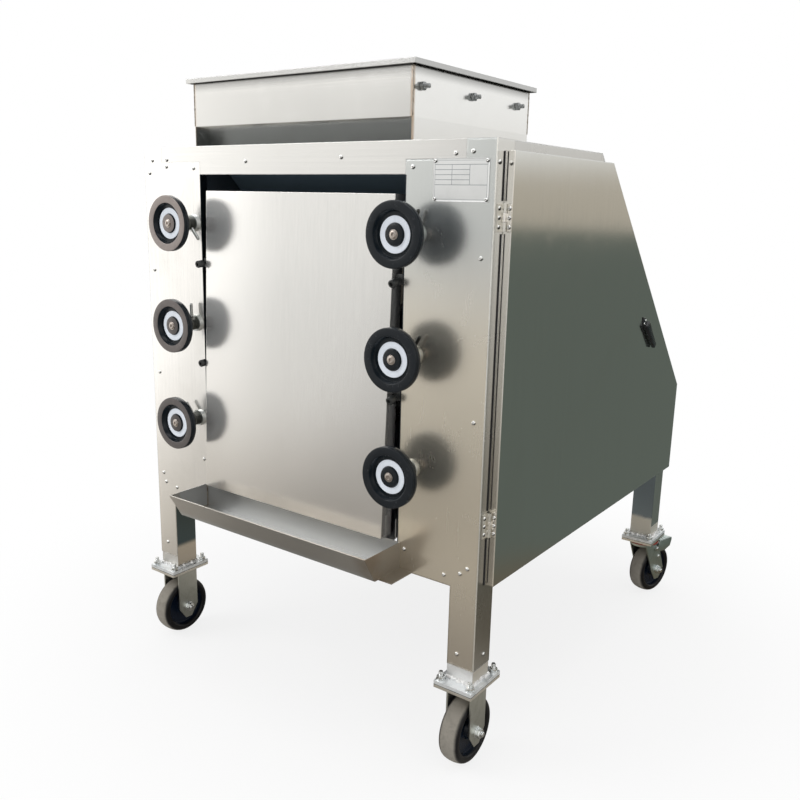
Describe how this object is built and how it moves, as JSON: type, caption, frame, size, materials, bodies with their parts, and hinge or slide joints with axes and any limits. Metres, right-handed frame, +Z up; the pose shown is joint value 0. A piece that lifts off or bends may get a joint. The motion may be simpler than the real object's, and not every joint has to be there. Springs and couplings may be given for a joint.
{
  "type": "nut slicing machine",
  "caption": "Free-standing stainless nut slicer: top hopper, stacked grooved roller pairs set by handwheels, sloping back, hinged side door, front discharge tray and legs on casters.",
  "frame": {"origin": "on the floor, under the middle of the whole machine's bounding box", "axes": "+X to the machine's right seen from the front (door side), +Y from front to rear, +Z up"},
  "size_m": [1.0515, 1.3144, 1.445],
  "materials": {
    "stainless": "brushed",
    "zinc_steel": "zinc plated",
    "black_plastic": "gloss",
    "cast_iron": "machined and oiled",
    "motor_casing": "painted",
    "belt_rubber": "matte",
    "grey_rubber": "matte"
  },
  "bodies": {
    "cabinet": {"frame_legs": "stainless", "frame_rails": "stainless", "left_front_column": "stainless", "right_front_column": "stainless", "front_top_beam": "stainless", "front_panel": "stainless", "panel_bolts": "black_plastic", "discharge_tray": "stainless", "discharge_chute": "stainless", "top_deck": "stainless", "rear_cover": "stainless", "left_side_panel": "stainless", "hopper_shell": "stainless", "hopper_guard_rods": "zinc_steel", "bearing_plates": "cast_iron", "fixed_bearings": "zinc_steel", "drive_motor": "motor_casing", "drive_belts": "belt_rubber", "caster_mounts": "zinc_steel", "caster_bolts": "zinc_steel", "door_hinges": "zinc_steel"},
    "carriage_low": {"bearing_blocks_low": "cast_iron"},
    "front_roller_low": {"front_roller_low": "stainless"},
    "rear_roller_low": {"rear_roller_low": "stainless"},
    "adjuster_left_low": {"handwheel_left_low": "black_plastic", "adjusting_screw_left_low": "zinc_steel"},
    "lock_left_low": {"lock_lever_left_low": "zinc_steel"},
    "adjuster_right_low": {"handwheel_right_low": "black_plastic", "adjusting_screw_right_low": "zinc_steel"},
    "lock_right_low": {"lock_lever_right_low": "zinc_steel"},
    "carriage_middle": {"bearing_blocks_middle": "cast_iron"},
    "front_roller_middle": {"front_roller_middle": "stainless"},
    "rear_roller_middle": {"rear_roller_middle": "stainless"},
    "adjuster_left_middle": {"handwheel_left_middle": "black_plastic", "adjusting_screw_left_middle": "zinc_steel"},
    "lock_left_middle": {"lock_lever_left_middle": "zinc_steel"},
    "adjuster_right_middle": {"handwheel_right_middle": "black_plastic", "adjusting_screw_right_middle": "zinc_steel"},
    "lock_right_middle": {"lock_lever_right_middle": "zinc_steel"},
    "carriage_top": {"bearing_blocks_top": "cast_iron"},
    "front_roller_top": {"front_roller_top": "stainless"},
    "rear_roller_top": {"rear_roller_top": "stainless"},
    "adjuster_left_top": {"handwheel_left_top": "black_plastic", "adjusting_screw_left_top": "zinc_steel"},
    "lock_left_top": {"lock_lever_left_top": "zinc_steel"},
    "adjuster_right_top": {"handwheel_right_top": "black_plastic", "adjusting_screw_right_top": "zinc_steel"},
    "lock_right_top": {"lock_lever_right_top": "zinc_steel"},
    "feed_roller": {"feed_roller": "stainless"},
    "motor_pulley": {"motor_pulley": "zinc_steel"},
    "wheel_front_left": {"caster_wheel_front_left": "grey_rubber"},
    "swivel_left": {"swivel_fork_left": "zinc_steel"},
    "wheel_rear_left": {"caster_wheel_rear_left": "grey_rubber"},
    "pedal_left": {"brake_pedal_left": "zinc_steel"},
    "wheel_front_right": {"caster_wheel_front_right": "grey_rubber"},
    "swivel_right": {"swivel_fork_right": "zinc_steel"},
    "wheel_rear_right": {"caster_wheel_rear_right": "grey_rubber"},
    "pedal_right": {"brake_pedal_right": "zinc_steel"},
    "door": {"side_door": "stainless"},
    "latch": {"door_latch": "black_plastic"}
  },
  "joints": [
    {"name": "adjuster_turn_left_low", "type": "hinge", "parent": "cabinet", "child": "adjuster_left_low", "pos_m": [-0.34, -0.596, 0.641], "axis": [0, 1, 0], "range_deg": [-720, 180]},
    {"name": "lock_turn_left_low", "type": "hinge", "parent": "cabinet", "child": "lock_left_low", "pos_m": [-0.34, -0.55, 0.641], "axis": [0, 1, 0], "range_deg": [0, 60]},
    {"name": "adjuster_turn_right_low", "type": "hinge", "parent": "cabinet", "child": "adjuster_right_low", "pos_m": [0.314, -0.596, 0.641], "axis": [0, 1, 0], "range_deg": [-720, 180]},
    {"name": "lock_turn_right_low", "type": "hinge", "parent": "cabinet", "child": "lock_right_low", "pos_m": [0.314, -0.55, 0.641], "axis": [0, 1, 0], "range_deg": [0, 60]},
    {"name": "carriage_slide_low", "type": "slide", "parent": "cabinet", "child": "carriage_low", "axis": [0, 1, 0], "range_m": [-0.004, 0.001]},
    {"name": "front_roller_spin_low", "type": "hinge", "parent": "carriage_low", "child": "front_roller_low", "pos_m": [-0.013, -0.364, 0.641], "axis": [1, 0, 0], "continuous": true},
    {"name": "rear_roller_spin_low", "type": "hinge", "parent": "cabinet", "child": "rear_roller_low", "pos_m": [-0.013, -0.244, 0.641], "axis": [1, 0, 0], "continuous": true},
    {"name": "adjuster_turn_left_middle", "type": "hinge", "parent": "cabinet", "child": "adjuster_left_middle", "pos_m": [-0.34, -0.596, 0.881], "axis": [0, 1, 0], "range_deg": [-720, 180]},
    {"name": "lock_turn_left_middle", "type": "hinge", "parent": "cabinet", "child": "lock_left_middle", "pos_m": [-0.34, -0.55, 0.881], "axis": [0, 1, 0], "range_deg": [0, 60]},
    {"name": "adjuster_turn_right_middle", "type": "hinge", "parent": "cabinet", "child": "adjuster_right_middle", "pos_m": [0.314, -0.596, 0.881], "axis": [0, 1, 0], "range_deg": [-720, 180]},
    {"name": "lock_turn_right_middle", "type": "hinge", "parent": "cabinet", "child": "lock_right_middle", "pos_m": [0.314, -0.55, 0.881], "axis": [0, 1, 0], "range_deg": [0, 60]},
    {"name": "carriage_slide_middle", "type": "slide", "parent": "cabinet", "child": "carriage_middle", "axis": [0, 1, 0], "range_m": [-0.004, 0.001]},
    {"name": "front_roller_spin_middle", "type": "hinge", "parent": "carriage_middle", "child": "front_roller_middle", "pos_m": [-0.013, -0.364, 0.881], "axis": [1, 0, 0], "continuous": true},
    {"name": "rear_roller_spin_middle", "type": "hinge", "parent": "cabinet", "child": "rear_roller_middle", "pos_m": [-0.013, -0.244, 0.881], "axis": [1, 0, 0], "continuous": true},
    {"name": "adjuster_turn_left_top", "type": "hinge", "parent": "cabinet", "child": "adjuster_left_top", "pos_m": [-0.34, -0.596, 1.121], "axis": [0, 1, 0], "range_deg": [-720, 180]},
    {"name": "lock_turn_left_top", "type": "hinge", "parent": "cabinet", "child": "lock_left_top", "pos_m": [-0.34, -0.55, 1.121], "axis": [0, 1, 0], "range_deg": [0, 60]},
    {"name": "adjuster_turn_right_top", "type": "hinge", "parent": "cabinet", "child": "adjuster_right_top", "pos_m": [0.314, -0.596, 1.121], "axis": [0, 1, 0], "range_deg": [-720, 180]},
    {"name": "lock_turn_right_top", "type": "hinge", "parent": "cabinet", "child": "lock_right_top", "pos_m": [0.314, -0.55, 1.121], "axis": [0, 1, 0], "range_deg": [0, 60]},
    {"name": "carriage_slide_top", "type": "slide", "parent": "cabinet", "child": "carriage_top", "axis": [0, 1, 0], "range_m": [-0.004, 0.001]},
    {"name": "front_roller_spin_top", "type": "hinge", "parent": "carriage_top", "child": "front_roller_top", "pos_m": [-0.013, -0.364, 1.121], "axis": [1, 0, 0], "continuous": true},
    {"name": "rear_roller_spin_top", "type": "hinge", "parent": "cabinet", "child": "rear_roller_top", "pos_m": [-0.013, -0.244, 1.121], "axis": [1, 0, 0], "continuous": true},
    {"name": "feed_roller_spin", "type": "hinge", "parent": "cabinet", "child": "feed_roller", "pos_m": [-0.013, -0.304, 1.222], "axis": [1, 0, 0], "continuous": true},
    {"name": "motor_pulley_spin", "type": "hinge", "parent": "cabinet", "child": "motor_pulley", "pos_m": [0.406, 0.264, 0.5505], "axis": [1, 0, 0], "continuous": true},
    {"name": "wheel_spin_front_left", "type": "hinge", "parent": "cabinet", "child": "wheel_front_left", "pos_m": [-0.47975, -0.50275, 0.075], "axis": [1, 0, 0], "continuous": true},
    {"name": "swivel_turn_left", "type": "hinge", "parent": "cabinet", "child": "swivel_left", "pos_m": [-0.47975, 0.53625, 0.171], "axis": [0, 0, 1], "continuous": true},
    {"name": "wheel_spin_rear_left", "type": "hinge", "parent": "swivel_left", "child": "wheel_rear_left", "pos_m": [-0.47975, 0.58225, 0.075], "axis": [1, 0, 0], "continuous": true},
    {"name": "pedal_press_left", "type": "hinge", "parent": "swivel_left", "child": "pedal_left", "pos_m": [-0.47975, 0.56225, 0.152], "axis": [-1, 0, 0], "range_deg": [0, 15]},
    {"name": "wheel_spin_front_right", "type": "hinge", "parent": "cabinet", "child": "wheel_front_right", "pos_m": [0.45375, -0.50275, 0.075], "axis": [1, 0, 0], "continuous": true},
    {"name": "swivel_turn_right", "type": "hinge", "parent": "cabinet", "child": "swivel_right", "pos_m": [0.45375, 0.53625, 0.171], "axis": [0, 0, 1], "continuous": true},
    {"name": "wheel_spin_rear_right", "type": "hinge", "parent": "swivel_right", "child": "wheel_rear_right", "pos_m": [0.46488, 0.58088, 0.075], "axis": [0.9703, -0.2419, 0], "continuous": true},
    {"name": "pedal_press_right", "type": "hinge", "parent": "swivel_right", "child": "pedal_right", "pos_m": [0.46004, 0.56148, 0.152], "axis": [-0.9703, 0.2419, 0], "range_deg": [0, 15]},
    {"name": "door_swing", "type": "hinge", "parent": "cabinet", "child": "door", "pos_m": [0.492, -0.5085, 0.8485], "axis": [0, 0, -1], "range_deg": [0, 90]},
    {"name": "latch_turn", "type": "hinge", "parent": "door", "child": "latch", "pos_m": [0.505, 0.246, 0.88], "axis": [1, 0, 0], "range_deg": [0, 90]}
  ],
  "couplings": [
    {"joint": "adjuster_turn_left_low", "follows": "carriage_slide_low", "rad_per_m": 3141.6},
    {"joint": "adjuster_turn_right_low", "follows": "carriage_slide_low", "rad_per_m": 3141.6},
    {"joint": "front_roller_spin_low", "follows": "rear_roller_spin_low", "ratio": -1},
    {"joint": "adjuster_turn_left_middle", "follows": "carriage_slide_middle", "rad_per_m": 3141.6},
    {"joint": "adjuster_turn_right_middle", "follows": "carriage_slide_middle", "rad_per_m": 3141.6},
    {"joint": "front_roller_spin_middle", "follows": "rear_roller_spin_low", "ratio": -1},
    {"joint": "rear_roller_spin_middle", "follows": "rear_roller_spin_low", "ratio": 1},
    {"joint": "adjuster_turn_left_top", "follows": "carriage_slide_top", "rad_per_m": 3141.6},
    {"joint": "adjuster_turn_right_top", "follows": "carriage_slide_top", "rad_per_m": 3141.6},
    {"joint": "front_roller_spin_top", "follows": "rear_roller_spin_low", "ratio": -1},
    {"joint": "rear_roller_spin_top", "follows": "rear_roller_spin_low", "ratio": 1},
    {"joint": "feed_roller_spin", "follows": "rear_roller_spin_low", "ratio": 1.2},
    {"joint": "motor_pulley_spin", "follows": "rear_roller_spin_low", "ratio": 1.875}
  ]
}
